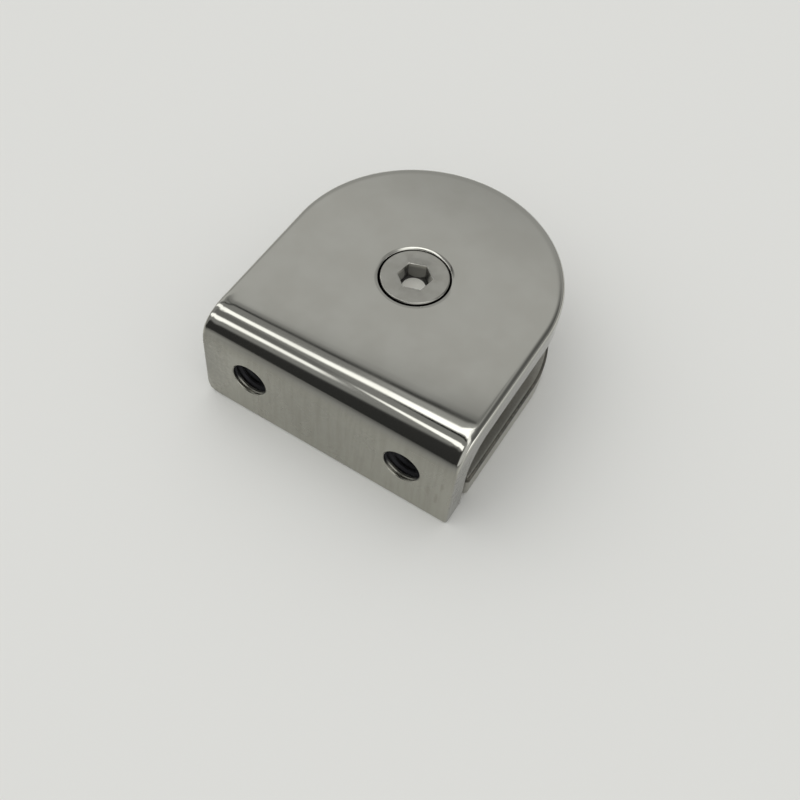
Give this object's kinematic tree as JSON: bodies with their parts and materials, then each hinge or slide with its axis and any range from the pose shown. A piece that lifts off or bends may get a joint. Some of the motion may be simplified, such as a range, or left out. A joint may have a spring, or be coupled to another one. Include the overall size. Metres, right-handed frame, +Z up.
{
  "type": "glass panel clamp",
  "caption": "D-shaped glass clamp: an upper jaw that turns down into a tapped fixing face, a lower pressure plate and a sunk hex socket screw that draws them together.",
  "frame": {"origin": "middle of the footprint, on the surface that the clamp rests on", "axes": "+Z up through the clamp screw's head, +Y from the fixing face towards the round tip of the jaw, +X across the width"},
  "size_m": [0.05, 0.055, 0.02],
  "materials": {
    "polished_steel": "polished stainless steel",
    "plain_steel": "plain satin stainless steel",
    "screw_steel": "turned stainless steel"
  },
  "bodies": {
    "body": {"clamp_body": "polished_steel"},
    "plate": {"pressure_plate": "plain_steel"},
    "screw": {"clamp_screw": "screw_steel"}
  },
  "joints": [
    {"name": "plate_rise", "type": "slide", "parent": "body", "child": "plate", "axis": [0, 0, 1], "range_m": [0, 0.004]},
    {"name": "screw_turn", "type": "hinge", "parent": "body", "child": "screw", "pos_m": [0, 0.0008, 0.0196], "axis": [0, 0, -1], "range_deg": [0, 1152]}
  ],
  "couplings": [
    {"joint": "screw_turn", "follows": "plate_rise", "rad_per_m": 5026.5}
  ]
}
